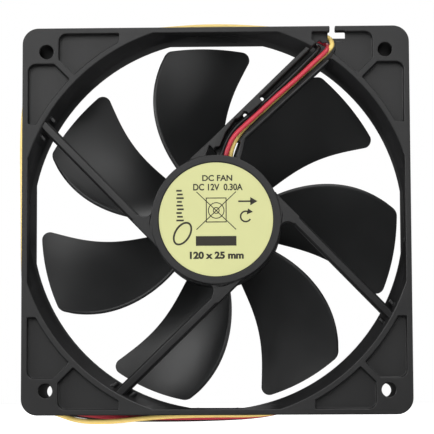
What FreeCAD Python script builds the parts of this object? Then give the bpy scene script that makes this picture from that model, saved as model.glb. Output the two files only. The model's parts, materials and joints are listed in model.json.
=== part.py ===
import FreeCAD, Part
import math
import os

# A 120 x 120 x 25 mm case fan. The rear (exhaust) face lies at Y = 0 and faces -Y, the front
# (intake) face lies at Y = 25. The origin is where the rotor axis meets the rear face; +Z is up.
# Millimetres throughout. Angles in the XZ plane run from +X towards +Z.

Vector = FreeCAD.Vector
AXIS = Vector(0, 1, 0)
PAST = 1.0                  # how far a cutting shape runs past the face it opens
BITE = 0.1                  # how far joined shapes reach into each other

# --- frame ---
SIDE = 120.0
HALF = SIDE / 2
DEPTH = 25.0
CORNER_RADIUS = 5.0
FLANGE = 3.6                # thickness of each square flange
HOLE_PITCH = 105.0
HOLE_PLACE = HOLE_PITCH / 2
HOLE_RADIUS = 2.15
TUBE_RADIUS = 4.0           # outside of the screw tubes between the flanges
THROAT_RADIUS = 58.4
THROAT_FLAT = 57.95         # half distance between the flats that cut the throat
MOUTH_RADIUS = 61.4
MOUTH_FLAT = 58.2
REAR_MOUTH_DEPTH = 5.5
FRONT_MOUTH_DEPTH = 9.5
BARREL_RADIUS = 60.6
BARREL_FLAT = 59.0
RING_RADIUS = 63.2          # outside of the raised ring round each mouth
POCKET_DEPTH = 2.6
POCKET_EDGE = 58.2          # how far the corner pockets reach towards the rim
POCKET_TAIL = 30.0          # where each pocket stops short of the middle of its side
POCKET_CORNER = 2.4
BOSS_EDGE = 48.7            # inner edge of the solid square round each screw hole
POCKET_RIB = 2.0            # width of the diagonal rib that splits each corner

# --- base cup that carries the motor ---
BASE_RADIUS = 20.0
BASE_PLATE = 2.0
BASE_HEIGHT = 6.2
BASE_WALL = 1.6
LABEL_RADIUS = 17.6
LABEL_RECESS = 0.3
LABEL_THICKNESS = 0.15
LEDGE_WIDTH = 1.2

# --- struts: nearly tangent to the base cup, one towards each corner ---
STRUT_ANGLES = (134.2, 224.2, 314.2)
STRUT_OUTER = 18.95         # distance from the rotor axis to a strut's outer line
STRUT_INNER = 15.9
STRUT_INSET = 0.45          # how much narrower the rear ridge is on each side
STRUT_REAR = 0.4
STRUT_STEP = 1.6            # where the ridge widens to the bar
STRUT_FRONT = 5.8
STRUT_REACH = 62.3          # how far out a strut's end goes within the rear flange
WEB_FILLET = 2.3            # in the corner between the cup and a strut's inner line
FOOT_START = 58.6           # the low ribs on the throat wall beside each strut's end
FOOT_WIDTH = 1.1
FOOT_GAP = 1.5
FOOT_REAR = 1.6

# --- the fourth strut is a channel that carries the lead ---
CHANNEL_ANGLE = 42.0
CHANNEL_START = 14.0
CHANNEL_END = 61.5
CHANNEL_LEFT = (19.46, 21.18)       # offsets of the left side's outer line, start and end
CHANNEL_RIGHT = (12.4, 12.75)
CHANNEL_LEFT_WALL = 1.35
CHANNEL_RIGHT_WALL = 0.9
CHANNEL_FLOOR = 4.4
CHANNEL_FRONT = 5.3
TROUGH_START = 25.5
# where the trough opens into the base cup, as X and Z
CUP_MOUTH = ((-0.4, 12), (-0.4, 22.4), (1.2, 22.6), (3.1, 27.0), (6.2, 31.3), (12.0, 30.0),
             (7.5, 24.4), (6.3, 19.4), (6.3, 12))
# the open gap in the channel's floor beside the wires, next to the cup
FLOOR_GAP = ((4.4, 19.2), (6.55, 19.4), (7.75, 24.1), (5.6, 24.4))
LEFT_WEB = ((2, 12), (2, 19.4), (16, 19.5))     # distance along the channel, offset from it
RIGHT_WEB = ((0, 17), (0, 24), (9.3, 25.2), (7.6, 18.4))
TAB_START = 29.4
TAB_END = 35.3
TAB_INNER = 17.4
TAB_THICKNESS = 0.8
TAB_HOLES = ((28.7, 18.3), (36.0, 18.55))
TAB_HOLE_RADIUS = 0.6
# the wires leave the channel through a hole in the rear flange, and a slit lets them in
WIRE_HOLE = ((31.2, 50.6), (31.2, 53.4), (33.4, 55.0), (35.0, 55.6), (35.0, 58.2), (37.4, 58.2),
             (37.4, 53.4), (35.8, 50.0))
WIRE_RECESS = ((30.2, 34.4), (55.7, 57.9))      # a hollow beside the hole: X and Z ranges
WIRE_RECESS_DEPTH = 2.2
SLOT_ARM = ((34.9, 40.3), (55.6, 58.4))
SLOT_SLIT = ((35.5, 37.1), (57.0, HALF + PAST))

# --- rotor ---
BLADE_COUNT = 7
BLADE_MIDDLE = 48.0         # direction of one blade's radial line
TIP_RADIUS = 56.4
LEADING_CORNER = 2.5
TRAILING_CORNER = 3.6
TRAILING_MARGIN = 1.2       # the tip outline is wider than the blade by this, inside the tip
# the tip outline well inside the tip, clear of the blade: distance from the axis and width
TIP_OUTLINE_ROOM = ((27, 18), (5, 18), (5, -14), (30, -14))
HUB_RADIUS = 20.2
HUB_REAR = 6.9
HUB_FRONT = 24.4
HUB_WALL = 1.3
HUB_PLATE = 1.5
# one row per blade section: distance from the axis, leading and trailing edge across the
# radial line, trailing edge depth, middle thickness
BLADE_SECTIONS = (
    (15.0, -3.5, 7.4, 7.6, 2.0),
    (27.0, -6.3, 12.5, 7.8, 1.8),
    (37.0, -9.9, 13.6, 8.2, 1.6),
    (47.0, -16.3, 11.7, 9.8, 1.5),
    (57.0, -23.9, 6.0, 12.0, 1.4),
)
LEADING_DEPTH = 23.4
NOSE_THICKNESS = 0.9
TAIL_THICKNESS = 1.35
CAMBER = 0.075

# --- motor ---
SHAFT_RADIUS = 1.5
SHAFT_REAR = 4.4
SHAFT_FRONT = 22.3
CLIP_RADIUS = 2.5
CLIP_RANGE = (4.9, 5.3)     # rear and front of the clip and of its groove in the shaft
CLIP_OPENING = 1.2
GROOVE_DEPTH = 0.3
WELL_RADIUS = 4.0
WELL_WALL = 1.0
WELL_FRONT = 16.6
CAP_FRONT = 2.6
THRUST_CLEARANCE = 0.1      # between the thrust washer and the shaft's end
BEARING_REAR = 5.6
BEARING_FRONT = 15.8
BEARING_CLEARANCE = 0.03
SEAL_CLEARANCE = 0.35
YOKE_RADIUS = HUB_RADIUS - HUB_WALL
YOKE_REAR = 7.5
YOKE_WALL = 1.0
MAGNET_THICKNESS = 1.7
MAGNET_REAR = 8.0
MAGNET_FRONT = 19.0
INSERT_RADIUS = 3.2
INSERT_REAR = 17.6
CORE_REAR = 9.5
CORE_FRONT = 15.5
CORE_RADIUS = 15.6
CORE_ARM = 3.4
INSULATOR_THICKNESS = 1.2
INSULATOR_ARM = 4.4
COIL_START = 7.9
COIL_END = 12.9
COIL_WIDTH = 8.4
COIL_HEIGHT = 1.3           # how far the winding stands above each insulator
COIL_ROUNDING = 1.2
COLLAR_WIDTH = 2.4          # ring at the middle of the stator
SHOE_WIDTH = 1.4
INSULATOR_SETBACK = 0.5     # how much further in the insulators' shoes are than the core's
CORE_GAP = 2.0              # between neighbouring pole shoes
INSULATOR_GAP = 3.0
BOARD_REAR = 4.4
BOARD_THICKNESS = 1.0
BOARD_RADIUS = 17.9
PIN_RING = 6.5
PIN_RADIUS = 0.35
PIN_TAIL = 0.6              # how far the pins reach behind the board
HOLE_CLEARANCE = 0.1        # around the pins and around the well
# the board's four components: X range, Z range, height
CHIPS = {
    "hall_sensor": ((11.6, 14.6), (-8.6, -6.6), 1.2),
    "driver_chip": ((-12.6, -8.2), (4.6, 8.8), 1.3),
    "capacitor": ((-11.4, -8.2), (-9.6, -7.4), 1.2),
    "diode": ((4.0, 7.6), (-13.4, -11.4), 1.1),
}

# --- lead ---
WIRE_DIAMETER = 1.5
PLUG_LENGTH = 13.0
PLUG_WIDTH = 9.9
PLUG_HEIGHT = 5.6
PLUG_RIB_OFFSET = 2.4       # the two keying ribs on the plug's upper face
PLUG_RIB_LENGTH = 4.0
PLUG_RIB_WIDTH = 1.0
PLUG_RIB_HEIGHT = 0.6
PLUG_START = 29.5
PLUG_MIDDLE_Y = 9.5
PLUG_MIDDLE_Z = -56.9
PIN_PITCH = 2.54
CAVITY = 2.2
TERMINAL_START = 32.5
TERMINAL_LENGTH = 9.0
TERMINAL_SIZE = 1.9
TERMINAL_CRIMP = 3.0        # the solid part of a terminal, next to the wire
TERMINAL_WALL = 0.3

# Each wire's route, from its solder joint on the board, along the channel, out through the slot,
# left round three sides of the barrel between the flanges, and into the plug.
ROUTES = {
    "black": [
        (1.5, 3.6, 13.6), (1.3, 3.5, 17.6), (1.9, 3.5, 21.4), (4.2, 3.5, 26.6), (7.5, 3.5, 30.3),
        (10.4, 3.5, 32.4), (17.3, 3.5, 38.7), (24.6, 3.5, 45.6), (29.2, 3.5, 50.2),
        (31.4, 3.6, 52.4), (32.4, 5.0, 53.7), (31.8, 7.3, 54.7), (29.4, 8.7, 56.3),
        (25.0, 8.8, 58.3), (14.0, 8.7, 60.1), (-4.0, 8.4, 60.2), (-22.0, 8.5, 59.8),
        (-38.0, 8.6, 58.6), (-48.0, 8.6, 58.9), (-53.6, 8.6, 58.2), (-57.4, 8.6, 55.6),
        (-59.0, 8.6, 51.4), (-58.6, 8.6, 42.0), (-59.8, 8.6, 26.0), (-60.5, 8.5, 8.0),
        (-60.6, 8.5, -12.0), (-59.6, 8.5, -32.0), (-58.6, 8.6, -44.0), (-58.9, 8.6, -51.0),
        (-57.6, 8.6, -55.4), (-53.8, 8.6, -58.0), (-46.5, 8.6, -59.4), (-35.0, 8.6, -61.2),
        (-16.0, 8.6, -61.4), (2.0, 8.8, -61.1), (13.0, 9.4, -60.4), (20.0, 11.0, -59.0),
        (24.6, 11.9, -57.4), (28.4, 12.04, -56.9), (32.5, 12.04, -56.9),
    ],
    "red": [
        (3.1, 3.6, 13.6), (2.85, 3.4, 17.6), (3.3, 2.6, 21.4), (5.4, 2.1, 26.0), (9.1, 2.0, 29.4),
        (18.1, 2.0, 37.7), (26.1, 2.0, 44.5), (31.1, 1.9, 49.4), (34.2, 2.0, 52.1),
        (35.2, 3.5, 53.8), (34.6, 5.7, 55.1), (32.1, 6.9, 56.6), (26.4, 6.8, 58.6),
        (14.8, 6.7, 60.3), (-4.0, 6.6, 60.3), (-22.0, 6.7, 59.9), (-38.0, 6.8, 58.8),
        (-48.0, 6.8, 58.9), (-53.6, 6.8, 58.3), (-57.4, 6.8, 55.6), (-59.0, 6.8, 51.4),
        (-58.8, 6.8, 42.0), (-60.1, 6.8, 28.0), (-60.5, 6.7, 10.0), (-60.3, 6.7, -10.0),
        (-59.6, 6.8, -30.0), (-58.6, 6.8, -43.0), (-59.0, 6.8, -50.8), (-57.7, 6.8, -55.2),
        (-54.0, 6.8, -57.7), (-46.0, 6.8, -58.9), (-35.0, 6.8, -60.6), (-16.0, 6.8, -60.8),
        (2.0, 6.9, -60.7), (13.0, 7.2, -60.3), (20.0, 8.6, -58.9), (24.6, 9.4, -57.4),
        (28.4, 9.5, -56.9), (32.5, 9.5, -56.9),
    ],
    "yellow": [
        (4.7, 3.6, 13.6), (4.4, 3.6, 17.6), (4.65, 3.6, 21.6), (6.4, 3.65, 25.8),
        (10.1, 3.65, 30.1), (18.5, 3.65, 37.6), (26.5, 3.65, 44.85), (31.7, 3.6, 49.5),
        (34.9, 3.3, 52.3), (36.5, 3.1, 54.5), (36.0, 4.3, 56.5), (33.9, 5.0, 57.8),
        (28.4, 4.9, 59.0), (17.0, 4.85, 60.2), (-1.0, 4.85, 61.3), (-19.0, 4.85, 60.0),
        (-37.0, 4.9, 58.9), (-48.0, 5.0, 59.0), (-53.8, 5.0, 58.4), (-57.6, 5.0, 55.8),
        (-59.2, 5.0, 51.4), (-59.3, 5.0, 42.0), (-60.6, 4.95, 28.0), (-60.3, 4.9, 10.0),
        (-60.0, 4.9, -10.0), (-59.5, 4.95, -30.0), (-58.7, 5.0, -43.0), (-59.1, 5.0, -50.4),
        (-58.0, 5.0, -55.0), (-55.0, 5.0, -57.8), (-50.0, 5.0, -59.2), (-43.0, 5.0, -61.8),
        (-33.0, 5.0, -62.1), (-18.0, 5.0, -60.4), (-2.0, 5.0, -59.95), (12.0, 5.1, -60.1),
        (19.6, 5.9, -59.0), (24.6, 6.8, -57.4), (28.4, 6.96, -56.9), (32.5, 6.96, -56.9),
    ],
}


# --- helpers ---
def cylinder(radius, rear, front, x=0.0, z=0.0):
    return Part.makeCylinder(radius, front - rear, Vector(x, rear, z), AXIS)


def ring(outer, inner, rear, front):
    return cylinder(outer, rear, front).cut(cylinder(inner, rear - 1, front + 1))


def block(x_range, y_range, z_range):
    size = [high - low for low, high in (x_range, y_range, z_range)]
    return Part.makeBox(*size, Vector(x_range[0], y_range[0], z_range[0]))


def prism(points, rear, front):
    """A flat outline in the XZ plane, carried from rear to front along Y."""
    corners = [Vector(x, rear, z) for x, z in points]
    outline = Part.makePolygon(corners + corners[:1])
    return Part.Face(outline).extrude(Vector(0, front - rear, 0))


def turned(shape, degrees):
    """A copy turned about the rotor axis, positive from +X towards +Z."""
    copy = shape.copy()
    copy.rotate(Vector(0, 0, 0), AXIS, -degrees)
    return copy


def along(angle, distance, offset):
    """The XZ point at a distance along a direction, and an offset to its left."""
    turn = math.radians(angle)
    x = distance * math.cos(turn) - offset * math.sin(turn)
    z = distance * math.sin(turn) + offset * math.cos(turn)
    return x, z


def rounded(shape, radius, chosen):
    """Fillets the edges that the test picks."""
    return shape.makeFillet(radius, [edge for edge in shape.Edges if chosen(edge)])


def lies_along_axis(edge):
    first, last = edge.Vertexes[0].Point, edge.Vertexes[-1].Point
    return abs(first.x - last.x) < 0.001 and abs(first.z - last.z) < 0.001 and first != last


def save(name, shape):
    solids = shape.Solids
    clean = solids[0] if len(solids) == 1 else Part.makeCompound(solids)
    clean.exportStep(f"parts/{name}.step")
    print(f"{name}: {len(solids)} solid, {clean.Volume:.1f} mm3, valid {clean.isValid()}")


# --- frame ---
def flat_sided(radius, flat, rear, front):
    """A cylinder whose four sides are cut to flats."""
    sides = block((-flat, flat), (rear, front), (-flat, flat))
    return cylinder(radius, rear, front).common(sides)


def square_plate(rear, front):
    plate = block((-HALF, HALF), (rear, front), (-HALF, HALF))
    return rounded(plate, CORNER_RADIUS, lies_along_axis)


def mouth(face, inside):
    """The cone that opens the throat towards one face of the frame."""
    direction = Vector(0, 1 if inside > face else -1, 0)
    depth = abs(inside - face)
    cone = Part.makeCone(MOUTH_RADIUS, THROAT_RADIUS, depth, Vector(0, face, 0), direction)
    low, high = sorted((face, inside))
    return cone.common(block((-MOUTH_FLAT, MOUTH_FLAT), (low, high), (-MOUTH_FLAT, MOUTH_FLAT)))


def corner_pockets(rear, front):
    """The two hollows beside the diagonal rib of the +X +Z corner."""
    hollow = block((POCKET_TAIL, POCKET_EDGE), (rear, front), (POCKET_TAIL, POCKET_EDGE))
    hollow = hollow.cut(cylinder(RING_RADIUS, rear - 1, front + 1))
    hollow = hollow.cut(block((BOSS_EDGE, HALF), (rear - 1, front + 1), (BOSS_EDGE, HALF)))
    rib = prism(
        [along(45, distance, side * POCKET_RIB / 2) for distance, side in
         ((50, -1), (80, -1), (80, 1), (50, 1))],
        rear - 1, front + 1)
    hollow = hollow.cut(rib)

    def is_outer_corner(edge):
        point = edge.Vertexes[0].Point
        near_boss = abs(max(point.x, point.z) - POCKET_EDGE) < 0.1
        return lies_along_axis(edge) and near_boss and min(point.x, point.z) > BOSS_EDGE - 0.1

    return rounded(hollow, POCKET_CORNER, is_outer_corner)


def strip(angle, start, end, low, high):
    """A rectangle in plan along a direction, as a list of points."""
    return [along(angle, start, high), along(angle, end, high),
            along(angle, end, low), along(angle, start, low)]


def strut(angle):
    """A thin bar, tangent to the cup, with a narrower ridge along its rear."""
    bar = prism(strip(angle, 0, STRUT_REACH, STRUT_INNER, STRUT_OUTER), STRUT_STEP, STRUT_FRONT)
    ridge = prism(strip(angle, 0, STRUT_REACH, STRUT_INNER + STRUT_INSET,
                        STRUT_OUTER - STRUT_INSET), STRUT_REAR, STRUT_STEP + BITE)
    room = cylinder(STRUT_REACH, 0, FLANGE).fuse(cylinder(BARREL_RADIUS - 3 * BITE, 0, DEPTH))
    return bar.fuse(ridge).fuse(strut_web(angle)).common(room)


def wall_ribs(angle):
    """The two low ribs on the throat wall, one on each side of a strut's end."""
    ribs = []
    for offset in (STRUT_INNER - FOOT_GAP, STRUT_OUTER + FOOT_GAP):
        plan = strip(angle, 0, STRUT_REACH, offset - FOOT_WIDTH / 2, offset + FOOT_WIDTH / 2)
        ribs.append(prism(plan, FOOT_REAR, STRUT_FRONT))
    return ribs[0].fuse(ribs[1]).common(ring(BARREL_RADIUS - BITE, FOOT_START, 0, DEPTH))


def strut_web(angle):
    """The flat web at a strut's root; a fillet joins the cup's edge to the strut's inner line."""
    centre_offset = STRUT_INNER - WEB_FILLET
    centre_distance = math.sqrt((BASE_RADIUS + WEB_FILLET) ** 2 - centre_offset ** 2)
    lean = math.atan2(centre_offset, centre_distance)
    middle = (lean + math.pi + math.pi / 2) / 2

    def place(distance, offset):
        x, z = along(angle, distance, offset)
        return Vector(x, STRUT_REAR, z)

    def on_fillet(direction):
        return place(centre_distance + WEB_FILLET * math.cos(direction),
                     centre_offset + WEB_FILLET * math.sin(direction))

    line_end, cup_end = on_fillet(math.pi / 2), on_fillet(lean + math.pi)
    inside_cup = BASE_RADIUS / 2
    corners = [cup_end, place(inside_cup, inside_cup), place(0, inside_cup),
               place(0, STRUT_OUTER), place(centre_distance, STRUT_OUTER), line_end]
    lines = [Part.LineSegment(*ends).toShape() for ends in zip(corners, corners[1:])]
    arc = Part.Arc(line_end, on_fillet(middle), cup_end).toShape()
    return Part.Face(Part.Wire(lines + [arc])).extrude(Vector(0, STRUT_FRONT - STRUT_REAR, 0))


def channel_outline(left_inset, right_inset, start=CHANNEL_START):
    """The channel's outline in plan, from a start to its end, drawn in from each side."""
    def offset(side, distance):
        share = (distance - CHANNEL_START) / (CHANNEL_END - CHANNEL_START)
        return side[0] + share * (side[1] - side[0])

    return [
        along(CHANNEL_ANGLE, start, offset(CHANNEL_RIGHT, start) + right_inset),
        along(CHANNEL_ANGLE, CHANNEL_END, CHANNEL_RIGHT[1] + right_inset),
        along(CHANNEL_ANGLE, CHANNEL_END, CHANNEL_LEFT[1] - left_inset),
        along(CHANNEL_ANGLE, start, offset(CHANNEL_LEFT, start) - left_inset),
    ]


def channel_solid():
    left_web = prism([along(CHANNEL_ANGLE, *place) for place in LEFT_WEB],
                     STRUT_REAR, CHANNEL_FRONT)
    right_web = prism(RIGHT_WEB, STRUT_REAR, CHANNEL_FRONT)
    shape = prism(channel_outline(0, 0), STRUT_REAR, CHANNEL_FRONT)
    room = cylinder(BARREL_RADIUS - BITE, 0, DEPTH)
    return shape.fuse(left_web).fuse(right_web).common(room)


def channel_hollow():
    """The room for the wires: the trough, its mouth at the cup and the holes through its floor."""
    trough = prism(channel_outline(CHANNEL_LEFT_WALL, CHANNEL_RIGHT_WALL, start=TROUGH_START),
                   -PAST, CHANNEL_FLOOR)
    cup_mouth = prism(CUP_MOUTH, -PAST, CHANNEL_FLOOR)
    cup_mouth = cup_mouth.cut(cylinder(BASE_RADIUS, -PAST, BASE_PLATE))
    gap = prism(FLOOR_GAP, -PAST, CHANNEL_FRONT + PAST)
    gap = gap.cut(cylinder(BASE_RADIUS, -PAST, CHANNEL_FRONT + PAST))
    hollow = trough.fuse(cup_mouth).fuse(gap)
    for distance, offset in TAB_HOLES:
        x, z = along(CHANNEL_ANGLE, distance, offset)
        hollow = hollow.fuse(cylinder(TAB_HOLE_RADIUS, -PAST, CHANNEL_FRONT + PAST, x, z))
    return hollow


def channel_tab():
    """The flat clip over the channel that keeps the wires in."""
    plan = strip(CHANNEL_ANGLE, TAB_START, TAB_END, TAB_INNER, CHANNEL_LEFT[0] + 4 * BITE)
    return prism(plan, STRUT_REAR, STRUT_REAR + TAB_THICKNESS)


def lead_slot():
    """The wire hole at the end of the channel and the slit that the wires are pressed in by."""
    hole = prism(WIRE_HOLE, -PAST, FLANGE + BITE)
    arm = block(SLOT_ARM[0], (-PAST, FLANGE + BITE), SLOT_ARM[1])
    slit = block(SLOT_SLIT[0], (-PAST, FLANGE + BITE), SLOT_SLIT[1])
    recess = block(WIRE_RECESS[0], (-PAST, WIRE_RECESS_DEPTH), WIRE_RECESS[1])
    return hole.fuse(arm).fuse(slit).fuse(recess)


def frame_shape():
    """The two flanges, the barrel between them and the four screw tubes."""
    flanges = square_plate(0, FLANGE).fuse(square_plate(DEPTH - FLANGE, DEPTH))
    shape = flanges.fuse(flat_sided(BARREL_RADIUS, BARREL_FLAT, 0, DEPTH))
    corners = [along(45 + 90 * quarter, HOLE_PLACE * math.sqrt(2), 0) for quarter in range(4)]
    for x, z in corners:
        shape = shape.fuse(cylinder(TUBE_RADIUS, 0, DEPTH, x, z))
    shape = shape.cut(flat_sided(THROAT_RADIUS, THROAT_FLAT, -PAST, DEPTH + PAST))
    shape = shape.cut(mouth(0, REAR_MOUTH_DEPTH)).cut(mouth(DEPTH, DEPTH - FRONT_MOUTH_DEPTH))
    for angle in STRUT_ANGLES:
        shape = shape.fuse(wall_ribs(angle))
    for quarter, (x, z) in enumerate(corners):
        shape = shape.cut(turned(corner_pockets(-PAST, POCKET_DEPTH), 90 * quarter))
        shape = shape.cut(turned(corner_pockets(DEPTH - POCKET_DEPTH, DEPTH + PAST), 90 * quarter))
        shape = shape.cut(cylinder(HOLE_RADIUS, -PAST, DEPTH + PAST, x, z))
    return shape.cut(channel_hollow()).cut(lead_slot()).removeSplitter()


def base_shape(frame):
    """The cup that carries the motor, its struts and the channel, as far as the frame's wall."""
    well_outer = WELL_RADIUS + WELL_WALL
    ledge_inner = BOARD_RADIUS - LEDGE_WIDTH
    shape = cylinder(BASE_RADIUS, 0, BASE_HEIGHT)
    for angle in STRUT_ANGLES:
        shape = shape.fuse(strut(angle))
    shape = shape.fuse(channel_solid())
    shape = shape.cut(cylinder(BASE_RADIUS - BASE_WALL, BOARD_REAR, DEPTH))
    shape = shape.cut(cylinder(ledge_inner, BASE_PLATE, DEPTH))
    shape = shape.fuse(ring(well_outer, WELL_RADIUS, BASE_PLATE - BITE, WELL_FRONT))
    shape = shape.cut(cylinder(LABEL_RADIUS + BITE, -PAST, LABEL_RECESS))
    shape = shape.cut(cylinder(WELL_RADIUS, -PAST, WELL_FRONT + PAST))
    shape = shape.cut(channel_hollow()).cut(lead_slot()).fuse(channel_tab())
    return shape.cut(frame).removeSplitter()


# --- impeller ---
def blade_section(distance, leading, trailing, trailing_depth, thickness):
    """A cambered closed outline in the plane at a distance from the axis, nose and tail round."""
    nose = Vector(distance, LEADING_DEPTH, leading)
    tail = Vector(distance, trailing_depth, trailing)
    chord = tail - nose
    forward = Vector(chord).normalize()
    normal = Vector(0, forward.z, -forward.y)
    if normal.y < 0:
        normal = -normal
    front = NOSE_THICKNESS / 2
    rear = TAIL_THICKNESS / 2
    middle = nose + chord * 0.5 + normal * (CAMBER * chord.Length)
    hollow_side = [nose + forward * front - normal * front, middle - normal * (thickness / 2),
                   tail - forward * rear - normal * rear]
    full_side = [tail - forward * rear + normal * rear, middle + normal * (thickness / 2),
                 nose + forward * front + normal * front]
    return Part.Wire([
        Part.Arc(*hollow_side).toShape(),
        Part.Arc(hollow_side[2], tail, full_side[0]).toShape(),
        Part.Arc(*full_side).toShape(),
        Part.Arc(full_side[2], nose, hollow_side[0]).toShape(),
    ])


def tip_outline():
    """A prism whose rounded outer corners round the two corners of a blade's tip."""
    last, before = BLADE_SECTIONS[-1], BLADE_SECTIONS[-2]

    def edge_line(column, margin):
        outer = Vector(last[0], 0, last[column])
        inner = Vector(before[0], 0, before[column] + margin)
        return inner, (outer - inner).normalize()

    def at_radius(line):
        inner, direction = line
        lean = inner.dot(direction)
        return inner + direction * (math.sqrt(lean ** 2 + TIP_RADIUS ** 2 - inner.dot(inner)) - lean)

    leading = edge_line(1, 0)
    trailing = edge_line(2, TRAILING_MARGIN)
    low, high = at_radius(leading), at_radius(trailing)
    inner_room = [Vector(distance, 0, width) for distance, width in TIP_OUTLINE_ROOM]
    wide = [high, trailing[0], *inner_room, leading[0], low]
    lines = [Part.LineSegment(*ends).toShape() for ends in zip(wide, wide[1:])]
    tip_middle = (low + high).normalize() * TIP_RADIUS
    arc = Part.Arc(low, tip_middle, high).toShape()
    outline = Part.Wire(lines + [arc])
    solid = Part.Face(outline).extrude(Vector(0, DEPTH + 10, 0))
    for corner, radius in ((low, LEADING_CORNER), (high, TRAILING_CORNER)):
        def at_corner(edge, place=corner):
            point = edge.Vertexes[0].Point
            return lies_along_axis(edge) and math.hypot(point.x - place.x, point.z - place.z) < 0.01
        solid = rounded(solid, radius, at_corner)
    return solid


def impeller_shape():
    sections = [blade_section(*row) for row in BLADE_SECTIONS]
    blade = Part.makeLoft(sections, True, False).common(tip_outline())
    blade = blade.cut(cylinder(HUB_RADIUS - HUB_WALL / 2, 0, DEPTH + 5))
    hub = cylinder(HUB_RADIUS, HUB_REAR, HUB_FRONT)
    hub = rounded(hub, HUB_PLATE, lambda edge: edge.CenterOfMass.y > HUB_FRONT - 0.01
                  and len(edge.Vertexes) == 1)
    hub = hub.cut(cylinder(YOKE_RADIUS, HUB_REAR - 1, HUB_FRONT - HUB_PLATE))
    blades = [turned(blade, BLADE_MIDDLE + 360 * count / BLADE_COUNT)
              for count in range(BLADE_COUNT)]
    return hub.fuse(blades).removeSplitter()


# --- motor ---
def stator_plan(rear, front, inner, arm, shoe_outer, shoe_inner, gap):
    """Centre ring, four arms and four pole shoes."""
    core = ring(inner + COLLAR_WIDTH, inner, rear, front)
    shoes = ring(shoe_outer, shoe_inner, rear, front)
    for quarter in range(4):
        opening = block((10, 20), (rear - 1, front + 1), (-gap / 2, gap / 2))
        shoes = shoes.cut(turned(opening, 45 + 90 * quarter))
        arm_block = block((inner + 1, shoe_inner + 0.5), (rear, front), (-arm / 2, arm / 2))
        core = core.fuse(turned(arm_block, 90 * quarter))
    return core.fuse(shoes).removeSplitter()


def coil_shape(quarter):
    half = COIL_WIDTH / 2
    low = CORE_REAR - INSULATOR_THICKNESS
    high = CORE_FRONT + INSULATOR_THICKNESS
    winding = block((COIL_START, COIL_END), (low - COIL_HEIGHT, high + COIL_HEIGHT), (-half, half))
    winding = rounded(winding, COIL_ROUNDING, lambda edge: abs(
        edge.Vertexes[0].Point.x - edge.Vertexes[-1].Point.x) > 1)
    window = block((0, 20), (low, high), (-INSULATOR_ARM / 2, INSULATOR_ARM / 2))
    return turned(winding.cut(window), 90 * quarter)


def board_shape(board_front):
    board = ring(BOARD_RADIUS, WELL_RADIUS + WELL_WALL + HOLE_CLEARANCE, BOARD_REAR, board_front)
    for quarter in range(4):
        x, z = along(45 + 90 * quarter, PIN_RING, 0)
        board = board.cut(cylinder(PIN_RADIUS + HOLE_CLEARANCE, 0, DEPTH, x, z))
    return board


def pins_shape():
    pins = []
    for quarter in range(4):
        x, z = along(45 + 90 * quarter, PIN_RING, 0)
        pins.append(cylinder(PIN_RADIUS, BOARD_REAR - PIN_TAIL, CORE_REAR - INSULATOR_THICKNESS,
                             x, z))
    return Part.makeCompound(pins)


# --- lead ---
def wire_path(points):
    """Straight runs joined by tangent arcs; also returns the smallest arc radius."""
    corners = [Vector(*point) for point in points]
    edges = []
    radii = []
    start = corners[0]
    for before, corner, after in zip(corners, corners[1:], corners[2:]):
        run_in = corner - before
        run_out = after - corner
        reach = 0.45 * min(run_in.Length, run_out.Length)
        turn = run_in.getAngle(run_out)
        into = run_in.normalize()
        out = run_out.normalize()
        radius = reach / math.tan(turn / 2)
        arc_start = corner - into * reach
        arc_end = corner + out * reach
        bisector = (out - into).normalize()
        arc_middle = corner + bisector * (radius * (1 / math.cos(turn / 2) - 1))
        edges.append(Part.LineSegment(start, arc_start).toShape())
        edges.append(Part.Arc(arc_start, arc_middle, arc_end).toShape())
        radii.append(radius)
        start = arc_end
    edges.append(Part.LineSegment(start, corners[-1]).toShape())
    return Part.Wire(edges), radii


def wire_shape(colour):
    points = ROUTES[colour]
    path, radii = wire_path(points)
    first = Vector(*points[0])
    circle = Part.makeCircle(WIRE_DIAMETER / 2, first, Vector(*points[1]) - first)
    tube = path.makePipe(Part.Face(Part.Wire(circle)))
    if tube.Volume < 0:
        tube.reverse()
    expected = math.pi * (WIRE_DIAMETER / 2) ** 2 * path.Length
    print(f"wire_{colour}: length {path.Length:.1f}, radii {min(radii):.1f} and up, "
          f"volume {tube.Volume:.1f} against {expected:.1f}")
    return tube


def pin_place(colour):
    order = {"yellow": -1, "red": 0, "black": 1}
    return PLUG_MIDDLE_Y + order[colour] * PIN_PITCH


def square_along(start, end, middle_y, size):
    half = size / 2
    return block((start, end), (middle_y - half, middle_y + half),
                 (PLUG_MIDDLE_Z - half, PLUG_MIDDLE_Z + half))


def connector_shape():
    half_width = PLUG_WIDTH / 2
    half_height = PLUG_HEIGHT / 2
    body = block((PLUG_START, PLUG_START + PLUG_LENGTH),
                 (PLUG_MIDDLE_Y - half_width, PLUG_MIDDLE_Y + half_width),
                 (PLUG_MIDDLE_Z - half_height, PLUG_MIDDLE_Z + half_height))
    for colour in ROUTES:
        body = body.cut(square_along(PLUG_START - 1, PLUG_START + PLUG_LENGTH + 1,
                                     pin_place(colour), CAVITY))
    rib_base = PLUG_MIDDLE_Z + half_height
    for side in (-1, 1):
        rib_middle = PLUG_MIDDLE_Y + side * PLUG_RIB_OFFSET
        rib = block((PLUG_START, PLUG_START + PLUG_RIB_LENGTH),
                    (rib_middle - PLUG_RIB_WIDTH / 2, rib_middle + PLUG_RIB_WIDTH / 2),
                    (rib_base, rib_base + PLUG_RIB_HEIGHT))
        body = body.fuse(rib)
    return body.removeSplitter()


def terminal_shape(colour):
    end = TERMINAL_START + TERMINAL_LENGTH
    shell = square_along(TERMINAL_START, end, pin_place(colour), TERMINAL_SIZE)
    return shell.cut(square_along(TERMINAL_START + TERMINAL_CRIMP, end + PAST, pin_place(colour),
                                  TERMINAL_SIZE - 2 * TERMINAL_WALL))


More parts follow.
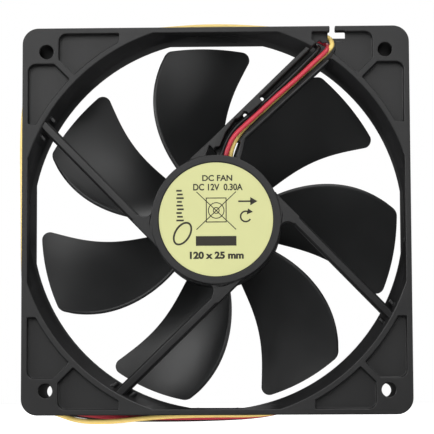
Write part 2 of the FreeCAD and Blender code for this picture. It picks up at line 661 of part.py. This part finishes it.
# --- build every piece ---
os.makedirs("parts", exist_ok=True)

frame = frame_shape()
save("frame", frame)
save("motor_base", base_shape(frame))
save("label", cylinder(LABEL_RADIUS, LABEL_RECESS - LABEL_THICKNESS, LABEL_RECESS))
save("bearing_cap", cylinder(WELL_RADIUS, LABEL_RECESS, CAP_FRONT))
save("thrust_washer", cylinder(WELL_RADIUS, CAP_FRONT, SHAFT_REAR - THRUST_CLEARANCE))
save("sleeve_bearing", ring(WELL_RADIUS, SHAFT_RADIUS + BEARING_CLEARANCE,
                            BEARING_REAR, BEARING_FRONT))
save("oil_seal_ring", ring(WELL_RADIUS, SHAFT_RADIUS + SEAL_CLEARANCE, BEARING_FRONT, WELL_FRONT))

save("impeller", impeller_shape())
groove_radius = SHAFT_RADIUS - GROOVE_DEPTH
groove = ring(CLIP_RADIUS, groove_radius, *CLIP_RANGE)
save("shaft", cylinder(SHAFT_RADIUS, SHAFT_REAR, SHAFT_FRONT).cut(groove))
clip = ring(CLIP_RADIUS, groove_radius, *CLIP_RANGE)
clip_opening = block((0, CLIP_RADIUS), CLIP_RANGE, (-CLIP_OPENING / 2, CLIP_OPENING / 2))
save("retaining_clip", clip.cut(clip_opening))
plate_front = HUB_FRONT - HUB_PLATE
insert = ring(INSERT_RADIUS, SHAFT_RADIUS, INSERT_REAR, SHAFT_FRONT)
save("shaft_insert", insert.fuse(cylinder(INSERT_RADIUS, SHAFT_FRONT, plate_front)))
yoke = ring(YOKE_RADIUS, YOKE_RADIUS - YOKE_WALL, YOKE_REAR, plate_front)
save("rotor_yoke", yoke.fuse(ring(YOKE_RADIUS, INSERT_RADIUS, plate_front - YOKE_WALL,
                                  plate_front)).removeSplitter())
magnet_outer = YOKE_RADIUS - YOKE_WALL
save("rotor_magnet", ring(magnet_outer, magnet_outer - MAGNET_THICKNESS,
                          MAGNET_REAR, MAGNET_FRONT))

well_outer = WELL_RADIUS + WELL_WALL
save("stator_core", stator_plan(CORE_REAR, CORE_FRONT, well_outer, CORE_ARM,
                                CORE_RADIUS, CORE_RADIUS - SHOE_WIDTH, CORE_GAP))
for name, rear in (("rear_insulator", CORE_REAR - INSULATOR_THICKNESS),
                   ("front_insulator", CORE_FRONT)):
    save(name, stator_plan(rear, rear + INSULATOR_THICKNESS, well_outer, INSULATOR_ARM,
                           CORE_RADIUS - INSULATOR_SETBACK,
                           CORE_RADIUS - SHOE_WIDTH - INSULATOR_SETBACK, INSULATOR_GAP))
for quarter in range(4):
    coil = coil_shape(quarter)
    save(f"coil_{quarter + 1}", coil.cut(turned(
        block((0, 20), (CORE_REAR, CORE_FRONT), (-CORE_ARM / 2, CORE_ARM / 2)), 90 * quarter)))
board_front = BOARD_REAR + BOARD_THICKNESS
save("circuit_board", board_shape(board_front))
save("winding_pins", pins_shape())
for name, (x_range, z_range, height) in CHIPS.items():
    save(name, block(x_range, (board_front, board_front + height), z_range))

for colour in ROUTES:
    save(f"wire_{colour}", wire_shape(colour))
    save(f"terminal_{colour}", terminal_shape(colour))
save("connector_housing", connector_shape())
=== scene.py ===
import json
import math

import bmesh
import bpy
from mathutils import Matrix, Vector


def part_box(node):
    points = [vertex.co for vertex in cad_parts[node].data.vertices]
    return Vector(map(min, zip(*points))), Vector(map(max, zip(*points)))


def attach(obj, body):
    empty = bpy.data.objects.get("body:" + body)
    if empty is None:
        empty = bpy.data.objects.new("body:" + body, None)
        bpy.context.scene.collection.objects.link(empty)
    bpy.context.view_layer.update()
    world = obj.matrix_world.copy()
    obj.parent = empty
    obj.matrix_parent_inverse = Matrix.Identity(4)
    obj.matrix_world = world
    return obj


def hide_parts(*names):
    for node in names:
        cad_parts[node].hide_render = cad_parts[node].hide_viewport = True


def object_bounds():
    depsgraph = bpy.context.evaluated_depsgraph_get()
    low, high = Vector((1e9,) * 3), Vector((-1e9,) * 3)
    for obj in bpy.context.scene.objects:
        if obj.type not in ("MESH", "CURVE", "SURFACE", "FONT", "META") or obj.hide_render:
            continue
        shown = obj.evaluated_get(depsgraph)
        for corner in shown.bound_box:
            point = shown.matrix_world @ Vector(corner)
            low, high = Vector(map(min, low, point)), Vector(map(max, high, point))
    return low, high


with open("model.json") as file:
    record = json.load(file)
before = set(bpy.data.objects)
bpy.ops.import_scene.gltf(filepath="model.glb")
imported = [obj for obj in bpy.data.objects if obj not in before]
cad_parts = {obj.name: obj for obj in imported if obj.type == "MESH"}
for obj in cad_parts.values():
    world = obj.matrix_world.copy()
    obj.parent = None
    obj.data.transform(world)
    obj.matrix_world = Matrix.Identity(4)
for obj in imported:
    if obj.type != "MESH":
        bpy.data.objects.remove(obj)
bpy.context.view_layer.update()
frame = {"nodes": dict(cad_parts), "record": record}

MM = 0.001

# --- driving values, in millimetres unless a name says otherwise ---
CAMERA_DISTANCE = 600.0
CAMERA_AZIMUTH = 1.567          # degrees
CAMERA_ELEVATION = -5.332       # degrees
CAMERA_ROLL = -0.225            # degrees
CAMERA_TARGET = (0.34, 0.0, 0.66)
CAMERA_LENS = 161.7             # on a 36 mm sensor
FLOOR_GAP = 0.05
FLOOR_REACH = 4.0               # metres, each way
FLOOR_COLOUR = (0.9, 0.9, 0.9, 1)
FLOOR_ROUGHNESS = 0.9
FLOOR_GLOW = 0.9
ROOM_LIGHT = 0.08
WHITE = (1, 1, 1, 1)
# the softboxes: place and side in metres, power in watts; each faces the object
SOFTBOXES = {
    "left softbox": ((-1.0, -0.6, 0.3), 0.6, 7.0),
    "top softbox": ((0.35, -0.45, 0.95), 0.8, 6.8),
    "right softbox": ((1.0, -0.5, -0.05), 0.6, 3.5),
    "front softbox": ((-0.2, -1.4, 0.6), 0.9, 8.0),
    "rear softbox": ((0.0, 1.0, 1.3), 0.6, 4.0),
}

# the eased edges of the two mouldings
EDGE_ROUNDING = 0.3
ROUNDING_STEPS = 2
SHARP = math.radians(35)        # the turn from face to face that makes an edge sharp
FLAT_FACE_WEIGHT = 100          # how strongly the large faces set the shading
SAME_PLACE = 0.002              # corners closer than this are joined
SAME_PLANE = math.radians(0.6)  # faces that turn less than this are joined
HALF_SIDE = 60.0
WALL_RADIUS = 58.2              # past it, the struts' and the channel's ends meet the frame

# the printing on the label, across and up from the rotor axis
INK_DEPTH = 0.01
# a line of words: what it says, its place across and up, and its extra weight
PRINTED_LINES = {
    "print_name": ("DC FAN", (-4.2, 5.1), (11.9, 13.8), 0.03),
    "print_rating": ("DC 12V  0.30A", (-7.1, 8.2), (9.0, 11.1), 0.03),
    "print_size": ("120 x 25 mm", (-8.3, 8.3), (-12.1, -9.8), 0.05),
}
THIN_LINE = 0.28
FRAME_LINE = 0.3
THICK_LINE = 0.5
ICON_MIDDLE = (0.1, 2.7)        # a fan: two circles in a square frame, crossed out
ICON_RADII = (2.4, 0.9)
ICON_FRAME = ((-3.1, 3.3), (-1.0, 6.7))     # how far it goes across and up
CROSS = ((-6.0, 6.2), (-3.2, 8.5))
FLOW_LINE = ((6.9, 5.5), (11.0, 5.5))       # the arrow for the flow: its line's two ends
FLOW_HEAD = [(10.6, 4.2), (12.8, 5.5), (10.6, 6.8)]
TURN_MIDDLE = (9.2, 0.8)        # the arrow for the turning: part of a circle and a head
TURN_RADIUS = 1.6
TURN_ANGLES = (60, 330)         # degrees
TURN_HEAD = [(9.5, 1.4), (11.4, 2.2), (9.9, 3.3)]
DASH_COUNT = 9                  # a column of short dashes of uneven length
DASH_ENDS = (-12.2, -9.9)
DASH_RAGGED = (0.25, 0.3)
DASH_START = -0.6
DASH_STEP = 1.15
DASH_HEIGHT = 0.55
OVAL_MIDDLE = (-10.3, -4.4)     # a plain leaning oval
OVAL_RADII = (2.2, 3.7)
OVAL_LINE = 0.6
OVAL_TILT = -32                 # degrees
BLOCK = ((-6.2, 6.3), (-8.2, -5.2))         # a solid bar of ink
BAND_STEP = 7                   # degrees from corner to corner of a curved line
BAND_STEPS = 8                  # and no fewer steps than this

WIRE_DIAMETER = 1.5
WIRE_SIDES = 5                  # how finely a wire's round section is drawn
WIRE_STEPS = 10                 # and each span of its curve

# Each wire's control points, from its solder joint on the board, along the channel, out through
# the slot, left round three sides of the barrel between the flanges, and into the plug.
WIRE_ROUTES = {
    "black": [
        (1.5, 3.6, 13.6), (1.3, 3.5, 17.6), (1.9, 3.5, 21.4), (4.2, 3.5, 26.6), (7.5, 3.5, 30.3),
        (10.4, 3.5, 32.4), (17.3, 3.5, 38.7), (24.6, 3.5, 45.6), (29.2, 3.5, 50.2),
        (31.4, 3.6, 52.4), (32.4, 5.0, 53.7), (31.8, 7.3, 54.7), (29.4, 8.7, 56.3),
        (25.0, 8.8, 58.3), (14.0, 8.7, 60.1), (-4.0, 8.4, 60.2), (-22.0, 8.5, 59.8),
        (-38.0, 8.6, 58.6), (-48.0, 8.6, 58.9), (-53.6, 8.6, 58.2), (-57.4, 8.6, 55.6),
        (-59.0, 8.6, 51.4), (-58.6, 8.6, 42.0), (-59.8, 8.6, 26.0), (-60.5, 8.5, 8.0),
        (-60.6, 8.5, -12.0), (-59.6, 8.5, -32.0), (-58.6, 8.6, -44.0), (-58.9, 8.6, -51.0),
        (-57.6, 8.6, -55.4), (-53.8, 8.6, -58.0), (-46.5, 8.6, -59.4), (-35.0, 8.6, -61.2),
        (-16.0, 8.6, -61.4), (2.0, 8.8, -61.1), (13.0, 9.4, -60.4), (20.0, 11.0, -59.0),
        (24.6, 11.9, -57.4), (28.4, 12.04, -56.9), (32.5, 12.04, -56.9),
    ],
    "red": [
        (3.1, 3.6, 13.6), (2.85, 3.4, 17.6), (3.3, 2.6, 21.4), (5.4, 2.1, 26.0), (9.1, 2.0, 29.4),
        (18.1, 2.0, 37.7), (26.1, 2.0, 44.5), (31.1, 1.9, 49.4), (34.2, 2.0, 52.1),
        (35.2, 3.5, 53.8), (34.6, 5.7, 55.1), (32.1, 6.9, 56.6), (26.4, 6.8, 58.6),
        (14.8, 6.7, 60.3), (-4.0, 6.6, 60.3), (-22.0, 6.7, 59.9), (-38.0, 6.8, 58.8),
        (-48.0, 6.8, 58.9), (-53.6, 6.8, 58.3), (-57.4, 6.8, 55.6), (-59.0, 6.8, 51.4),
        (-58.8, 6.8, 42.0), (-60.1, 6.8, 28.0), (-60.5, 6.7, 10.0), (-60.3, 6.7, -10.0),
        (-59.6, 6.8, -30.0), (-58.6, 6.8, -43.0), (-59.0, 6.8, -50.8), (-57.7, 6.8, -55.2),
        (-54.0, 6.8, -57.7), (-46.0, 6.8, -58.9), (-35.0, 6.8, -60.6), (-16.0, 6.8, -60.8),
        (2.0, 6.9, -60.7), (13.0, 7.2, -60.3), (20.0, 8.6, -58.9), (24.6, 9.4, -57.4),
        (28.4, 9.5, -56.9), (32.5, 9.5, -56.9),
    ],
    "yellow": [
        (4.7, 3.6, 13.6), (4.4, 3.6, 17.6), (4.65, 3.6, 21.6), (6.4, 3.65, 25.8),
        (10.1, 3.65, 30.1), (18.5, 3.65, 37.6), (26.5, 3.65, 44.85), (31.7, 3.6, 49.5),
        (34.9, 3.3, 52.3), (36.5, 3.1, 54.5), (36.0, 4.3, 56.5), (33.9, 5.0, 57.8),
        (28.4, 4.9, 59.0), (17.0, 4.85, 60.2), (-1.0, 4.85, 61.3), (-19.0, 4.85, 60.0),
        (-37.0, 4.9, 58.9), (-48.0, 5.0, 59.0), (-53.8, 5.0, 58.4), (-57.6, 5.0, 55.8),
        (-59.2, 5.0, 51.4), (-59.3, 5.0, 42.0), (-60.6, 4.95, 28.0), (-60.3, 4.9, 10.0),
        (-60.0, 4.9, -10.0), (-59.5, 4.95, -30.0), (-58.7, 5.0, -43.0), (-59.1, 5.0, -50.4),
        (-58.0, 5.0, -55.0), (-55.0, 5.0, -57.8), (-50.0, 5.0, -59.2), (-43.0, 5.0, -61.8),
        (-33.0, 5.0, -62.1), (-18.0, 5.0, -60.4), (-2.0, 5.0, -59.95), (12.0, 5.1, -60.1),
        (19.6, 5.9, -59.0), (24.6, 6.8, -57.4), (28.4, 6.96, -56.9), (32.5, 6.96, -56.9),
    ],
}


# --- materials ---
CLOUD_SCALE = 45.0
CLOUD_DETAIL = 4.0
GRAIN_DETAIL = 2.0
GRAIN_DEPTH = 0.04
NOISE_RANGE = (0.3, 0.7)        # the part of the noise that the colour and the gloss follow

# each surface: base colour, how far it clouds either way, its roughness from low to high, the
# scale and strength of its grain, and how metallic it is
SURFACES = {
    "frame_plastic": ((0.0075, 0.0075, 0.0078), 0.25, (0.40, 0.50), 3000, 0.35, 0.0),
    "impeller_plastic": ((0.0115, 0.0119, 0.0122), 0.2, (0.36, 0.44), 2200, 0.2, 0.0),
    "label_paper": ((0.45, 0.455, 0.21), 0.03, (0.45, 0.55), 900, 0.1, 0.0),
    "label_ink": ((0.014, 0.011, 0.005), 0.2, (0.5, 0.6), 2500, 0.1, 0.0),
    "cap_rubber": ((0.02, 0.02, 0.02), 0.2, (0.7, 0.8), 1500, 0.3, 0.0),
    "white_nylon": ((0.78, 0.77, 0.72), 0.04, (0.35, 0.45), 900, 0.15, 0.0),
    "sintered_bronze": ((0.45, 0.31, 0.16), 0.2, (0.4, 0.6), 4000, 0.6, 1.0),
    "polished_steel": ((0.62, 0.62, 0.63), 0.05, (0.12, 0.2), 2500, 0.1, 1.0),
    "brass": ((0.72, 0.52, 0.23), 0.08, (0.22, 0.34), 1800, 0.2, 1.0),
    "yoke_steel": ((0.50, 0.50, 0.52), 0.08, (0.3, 0.42), 1800, 0.2, 1.0),
    "magnet_ferrite": ((0.05, 0.046, 0.042), 0.25, (0.6, 0.75), 2600, 0.5, 0.0),
    "lamination_steel": ((0.32, 0.32, 0.34), 0.15, (0.35, 0.5), 1500, 0.3, 1.0),
    "insulator_plastic": ((0.72, 0.69, 0.58), 0.05, (0.4, 0.5), 900, 0.15, 0.0),
    "copper_enamel": ((0.58, 0.22, 0.08), 0.2, (0.22, 0.35), 1600, 0.5, 0.9),
    "board_green": ((0.02, 0.14, 0.05), 0.15, (0.25, 0.35), 1200, 0.2, 0.0),
    "tinned_metal": ((0.66, 0.66, 0.64), 0.08, (0.25, 0.38), 1500, 0.2, 1.0),
    "chip_black": ((0.015, 0.015, 0.016), 0.2, (0.5, 0.6), 3000, 0.4, 0.0),
    "ceramic_tan": ((0.46, 0.33, 0.19), 0.1, (0.35, 0.45), 1500, 0.2, 0.0),
    "wire_black": ((0.012, 0.012, 0.013), 0.2, (0.3, 0.4), 700, 0.2, 0.0),
    "wire_red": ((0.44, 0.03, 0.05), 0.08, (0.3, 0.4), 700, 0.2, 0.0),
    "wire_yellow": ((0.74, 0.55, 0.17), 0.08, (0.3, 0.4), 700, 0.2, 0.0),
    "plug_plastic": ((0.02, 0.02, 0.021), 0.2, (0.35, 0.45), 1500, 0.25, 0.0),
}


def new_material(name):
    """A Principled material; returns the material, its node tree and its shader."""
    material = bpy.data.materials.new(name)
    material.use_nodes = True
    tree = material.node_tree
    return material, tree, tree.nodes["Principled BSDF"]


def noise(tree, scale, detail, name):
    """Noise in the piece's own coordinates, so that the pattern turns with it."""
    coordinates = tree.nodes.new("ShaderNodeTexCoord")
    texture = tree.nodes.new("ShaderNodeTexNoise")
    texture.name = name
    texture.inputs["Scale"].default_value = scale
    texture.inputs["Detail"].default_value = detail
    tree.links.new(coordinates.outputs["Object"], texture.inputs["Vector"])
    return texture


def vary_colour(tree, shader, texture, dark, light):
    ramp = tree.nodes.new("ShaderNodeValToRGB")
    for stop, position, colour in zip(ramp.color_ramp.elements, NOISE_RANGE, (dark, light)):
        stop.position = position
        stop.color = (*colour, 1)
    tree.links.new(texture.outputs["Fac"], ramp.inputs["Fac"])
    tree.links.new(ramp.outputs["Color"], shader.inputs["Base Color"])


def vary_roughness(tree, shader, texture, low, high):
    spread = tree.nodes.new("ShaderNodeMapRange")
    spread.inputs["From Min"].default_value = NOISE_RANGE[0]
    spread.inputs["From Max"].default_value = NOISE_RANGE[1]
    spread.inputs["To Min"].default_value = low
    spread.inputs["To Max"].default_value = high
    tree.links.new(texture.outputs["Fac"], spread.inputs["Value"])
    tree.links.new(spread.outputs["Result"], shader.inputs["Roughness"])


def add_bump(tree, shader, texture, strength):
    bump = tree.nodes.new("ShaderNodeBump")
    bump.inputs["Strength"].default_value = strength
    bump.inputs["Distance"].default_value = GRAIN_DEPTH * MM
    tree.links.new(texture.outputs["Fac"], bump.inputs["Height"])
    tree.links.new(bump.outputs["Normal"], shader.inputs["Normal"])


def grained(name, colour, spread, roughness, grain, strength, metallic):
    """A material with clouded colour and gloss over a fine surface grain."""
    material, tree, shader = new_material(name)
    shader.inputs["Metallic"].default_value = metallic
    clouds = noise(tree, CLOUD_SCALE, CLOUD_DETAIL, "clouds")
    dark = [channel * (1 - spread) for channel in colour]
    light = [channel * (1 + spread) for channel in colour]
    vary_colour(tree, shader, clouds, dark, light)
    vary_roughness(tree, shader, clouds, *roughness)
    add_bump(tree, shader, noise(tree, grain, GRAIN_DETAIL, "grain"), strength)
    return material


MATERIALS = {name: grained(name, *values) for name, values in SURFACES.items()}


def dress(node, material):
    """Gives a CAD node its material."""
    slots = frame["nodes"][node].data.materials
    slots.clear()
    slots.append(material)


for part in frame["record"]["subparts"]:
    dress(part["node"], MATERIALS[part["material_slot"]])


# --- the two mouldings with eased edges ---
def eased_copy(node, name, reach):
    """A copy of a CAD node; its sharp edges are rounded as far out from the rotor axis as reach."""
    piece = bpy.data.objects.new(name, frame["nodes"][node].data.copy())
    bpy.context.scene.collection.objects.link(piece)
    shape = bmesh.new()
    shape.from_mesh(piece.data)
    bmesh.ops.remove_doubles(shape, verts=shape.verts, dist=SAME_PLACE * MM)
    bmesh.ops.dissolve_limit(shape, angle_limit=SAME_PLANE, verts=shape.verts,
                             edges=shape.edges)
    for face in shape.faces:
        face.smooth = True
    weight = shape.edges.layers.float.new("bevel_weight_edge")
    for edge in shape.edges:
        inside = min(math.hypot(vertex.co.x, vertex.co.z) for vertex in edge.verts) < reach * MM
        if inside and edge.is_manifold and edge.calc_face_angle() > SHARP:
            edge[weight] = 1.0
    shape.to_mesh(piece.data)
    shape.free()
    bevel = piece.modifiers.new("eased edges", "BEVEL")
    bevel.width = EDGE_ROUNDING * MM
    bevel.segments = ROUNDING_STEPS
    bevel.limit_method = "WEIGHT"
    bevel.use_clamp_overlap = False
    bevel.miter_outer = "MITER_ARC"
    shading = piece.modifiers.new("flat faces stay flat", "WEIGHTED_NORMAL")
    shading.weight = FLAT_FACE_WEIGHT
    shading.keep_sharp = True
    return piece


for moulding, reach in (("frame", 2 * HALF_SIDE), ("motor_base", WALL_RADIUS)):
    shell = eased_copy(moulding, f"{moulding}_shell", reach)
    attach(shell, "housing")
    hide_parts(moulding)


# --- printing on the label ---
LABEL_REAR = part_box("label")[0][1]


def on_label(x, z):
    """A place on the label's face, from millimetres across and up."""
    return (x * MM, LABEL_REAR, z * MM)


def bar(x_range, z_range):
    (left, right), (low, high) = x_range, z_range
    return [(left, low), (right, low), (right, high), (left, high)]


def outline_bars(x_range, z_range, width):
    """The four sides of a rectangle, drawn inside it."""
    (left, right), (low, high) = x_range, z_range
    between = (low + width, high - width)
    return [bar(x_range, (low, low + width)), bar(x_range, (high - width, high)),
            bar((left, left + width), between), bar((right - width, right), between)]


def stroke(start, end, width):
    """A straight line of a given width."""
    along = Vector(end) - Vector(start)
    side = Vector((-along.y, along.x)).normalized() * width / 2
    return [tuple(Vector(start) - side), tuple(Vector(end) - side),
            tuple(Vector(end) + side), tuple(Vector(start) + side)]


def arc_band(centre, radii, width, start, end, tilt=0.0):
    """Part of an elliptical ring, from a start angle to an end angle in degrees."""
    steps = max(BAND_STEPS, int(abs(end - start) / BAND_STEP))
    turn = math.radians(tilt)
    points = []
    for grow, order in ((width / 2, range(steps + 1)), (-width / 2, range(steps, -1, -1))):
        for step in order:
            angle = math.radians(start + (end - start) * step / steps)
            across = (radii[0] + grow) * math.cos(angle)
            up = (radii[1] + grow) * math.sin(angle)
            points.append((centre[0] + across * math.cos(turn) - up * math.sin(turn),
                           centre[1] + across * math.sin(turn) + up * math.cos(turn)))
    return points


def put_on_label(piece):
    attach(piece, "housing")
    return piece


def printed_marks(name, outlines):
    """Flat ink shapes, a hair proud of the label."""
    shape = bmesh.new()
    for outline in outlines:
        corners = [shape.verts.new((x * MM, LABEL_REAR - INK_DEPTH * MM, z * MM))
                   for x, z in outline]
        face = shape.faces.new(corners)
        grown = bmesh.ops.extrude_face_region(shape, geom=[face])
        moved = [item for item in grown["geom"] if isinstance(item, bmesh.types.BMVert)]
        bmesh.ops.translate(shape, verts=moved, vec=(0, 2 * INK_DEPTH * MM, 0))
    bmesh.ops.recalc_face_normals(shape, faces=shape.faces)
    mesh = bpy.data.meshes.new(name)
    shape.to_mesh(mesh)
    shape.free()
    mesh.materials.append(MATERIALS["label_ink"])
    piece = bpy.data.objects.new(name, mesh)
    bpy.context.scene.collection.objects.link(piece)
    return put_on_label(piece)


def printed_line(name, words, x_range, z_range, weight):
    """A line of generic lettering, scaled to fill a place on the label."""
    curve = bpy.data.curves.new(name, "FONT")
    curve.body = words
    curve.size = MM
    curve.offset = weight * MM
    curve.extrude = INK_DEPTH * MM
    curve.align_x = "CENTER"
    curve.materials.append(MATERIALS["label_ink"])
    piece = bpy.data.objects.new(name, curve)
    bpy.context.scene.collection.objects.link(piece)
    bpy.context.view_layer.update()
    width = (x_range[1] - x_range[0]) * MM / piece.dimensions.x
    height = (z_range[1] - z_range[0]) * MM / piece.dimensions.y
    piece.scale = (width, height, 1)
    piece.rotation_euler = (math.pi / 2, 0, 0)
    piece.location = on_label(sum(x_range) / 2, z_range[0])
    return put_on_label(piece)


def dash(row):
    """One dash of the column, with ragged ends."""
    low = DASH_START + DASH_STEP * row
    left = DASH_ENDS[0] + DASH_RAGGED[0] * (row % 2)
    right = DASH_ENDS[1] - DASH_RAGGED[1] * (row % 3)
    return bar((left, right), (low, low + DASH_HEIGHT))


for line_name, line in PRINTED_LINES.items():
    printed_line(line_name, *line)

(cross_left, cross_right), (cross_low, cross_high) = CROSS
marks = [stroke((cross_left, cross_low), (cross_right, cross_high), THIN_LINE),
         stroke((cross_left, cross_high), (cross_right, cross_low), THIN_LINE)]
marks += outline_bars(*ICON_FRAME, FRAME_LINE)
marks += [arc_band(ICON_MIDDLE, (radius, radius), THIN_LINE, 0, 360) for radius in ICON_RADII]
marks += [stroke(*FLOW_LINE, THICK_LINE), FLOW_HEAD]
marks += [arc_band(TURN_MIDDLE, (TURN_RADIUS, TURN_RADIUS), THICK_LINE, *TURN_ANGLES), TURN_HEAD]
marks += [dash(row) for row in range(DASH_COUNT)]
marks += [arc_band(OVAL_MIDDLE, OVAL_RADII, OVAL_LINE, 0, 360, tilt=OVAL_TILT), bar(*BLOCK)]
printed_marks("print_marks", marks)


# --- lead ---
def wire_curve(colour):
    name = f"lead_{colour}"
    curve = bpy.data.curves.new(name, "CURVE")
    curve.dimensions = "3D"
    curve.bevel_depth = WIRE_DIAMETER / 2 * MM
    curve.bevel_resolution = WIRE_SIDES
    curve.use_fill_caps = True
    spline = curve.splines.new("NURBS")
    points = WIRE_ROUTES[colour]
    spline.points.add(len(points) - 1)
    for point, place in zip(spline.points, points):
        point.co = (*(Vector(place) * MM), 1)
    spline.order_u = 3
    spline.use_endpoint_u = True
    spline.resolution_u = WIRE_STEPS
    wire = bpy.data.objects.new(name, curve)
    bpy.context.scene.collection.objects.link(wire)
    curve.materials.append(MATERIALS[f"wire_{colour}"])
    return wire


for wire_colour in WIRE_ROUTES:
    lead = wire_curve(wire_colour)
    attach(lead, "housing")
    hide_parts(f"wire_{wire_colour}")


# --- stage, light and camera ---
def stage_floor():
    """A wide white floor just under the lowest wire."""
    low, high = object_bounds()
    level = low[2] - FLOOR_GAP * MM
    corners = [(-FLOOR_REACH, -FLOOR_REACH, level), (FLOOR_REACH, -FLOOR_REACH, level),
               (FLOOR_REACH, FLOOR_REACH, level), (-FLOOR_REACH, FLOOR_REACH, level)]
    mesh = bpy.data.meshes.new("floor")
    mesh.from_pydata(corners, [], [(0, 1, 2, 3)])
    floor = bpy.data.objects.new("floor", mesh)
    bpy.context.scene.collection.objects.link(floor)
    material, _, shader = new_material("floor")
    shader.inputs["Roughness"].default_value = FLOOR_ROUGHNESS
    shader.inputs["Base Color"].default_value = FLOOR_COLOUR
    shader.inputs["Emission Color"].default_value = WHITE
    shader.inputs["Emission Strength"].default_value = FLOOR_GLOW
    mesh.materials.append(material)
    floor.visible_glossy = False


def soft_light(name, place, size, power):
    """A square softbox at place, turned to face the origin."""
    light = bpy.data.lights.new(name, "AREA")
    light.shape = "SQUARE"
    light.size = size
    light.energy = power
    lamp = bpy.data.objects.new(name, light)
    lamp.location = place
    lamp.rotation_euler = (-Vector(place)).to_track_quat("-Z", "Y").to_euler()
    lamp.visible_camera = False
    bpy.context.scene.collection.objects.link(lamp)


def studio_world():
    """White behind the object, and a dim room for everything else that the plastic reflects."""
    world = bpy.data.worlds.new("studio")
    world.use_nodes = True
    tree = world.node_tree
    room = tree.nodes["Background"]
    room.inputs["Color"].default_value = WHITE
    room.inputs["Strength"].default_value = ROOM_LIGHT
    sweep = tree.nodes.new("ShaderNodeBackground")
    sweep.inputs["Color"].default_value = WHITE
    sweep.inputs["Strength"].default_value = 1.0
    rays = tree.nodes.new("ShaderNodeLightPath")
    choose = tree.nodes.new("ShaderNodeMixShader")
    tree.links.new(rays.outputs["Is Camera Ray"], choose.inputs[0])
    tree.links.new(room.outputs["Background"], choose.inputs[1])
    tree.links.new(sweep.outputs["Background"], choose.inputs[2])
    tree.links.new(choose.outputs["Shader"], tree.nodes["World Output"].inputs["Surface"])
    bpy.context.scene.world = world


def place_camera():
    azimuth = math.radians(CAMERA_AZIMUTH)
    elevation = math.radians(CAMERA_ELEVATION)
    back = Vector((math.sin(azimuth) * math.cos(elevation),
                   -math.cos(azimuth) * math.cos(elevation), math.sin(elevation)))
    lens = bpy.data.cameras.new("camera")
    lens.lens = CAMERA_LENS
    lens.sensor_width = 36.0
    camera = bpy.data.objects.new("camera", lens)
    camera.location = (Vector(CAMERA_TARGET) + back * CAMERA_DISTANCE) * MM
    turn = (-back).to_track_quat("-Z", "Y").to_matrix().to_4x4()
    roll = Matrix.Rotation(math.radians(CAMERA_ROLL), 4, "Z")
    camera.rotation_euler = (turn @ roll).to_euler()
    bpy.context.scene.collection.objects.link(camera)
    bpy.context.scene.camera = camera


bpy.context.scene.view_settings.view_transform = "Standard"
studio_world()
stage_floor()
for light_name, light_values in SOFTBOXES.items():
    soft_light(light_name, *light_values)
place_camera()
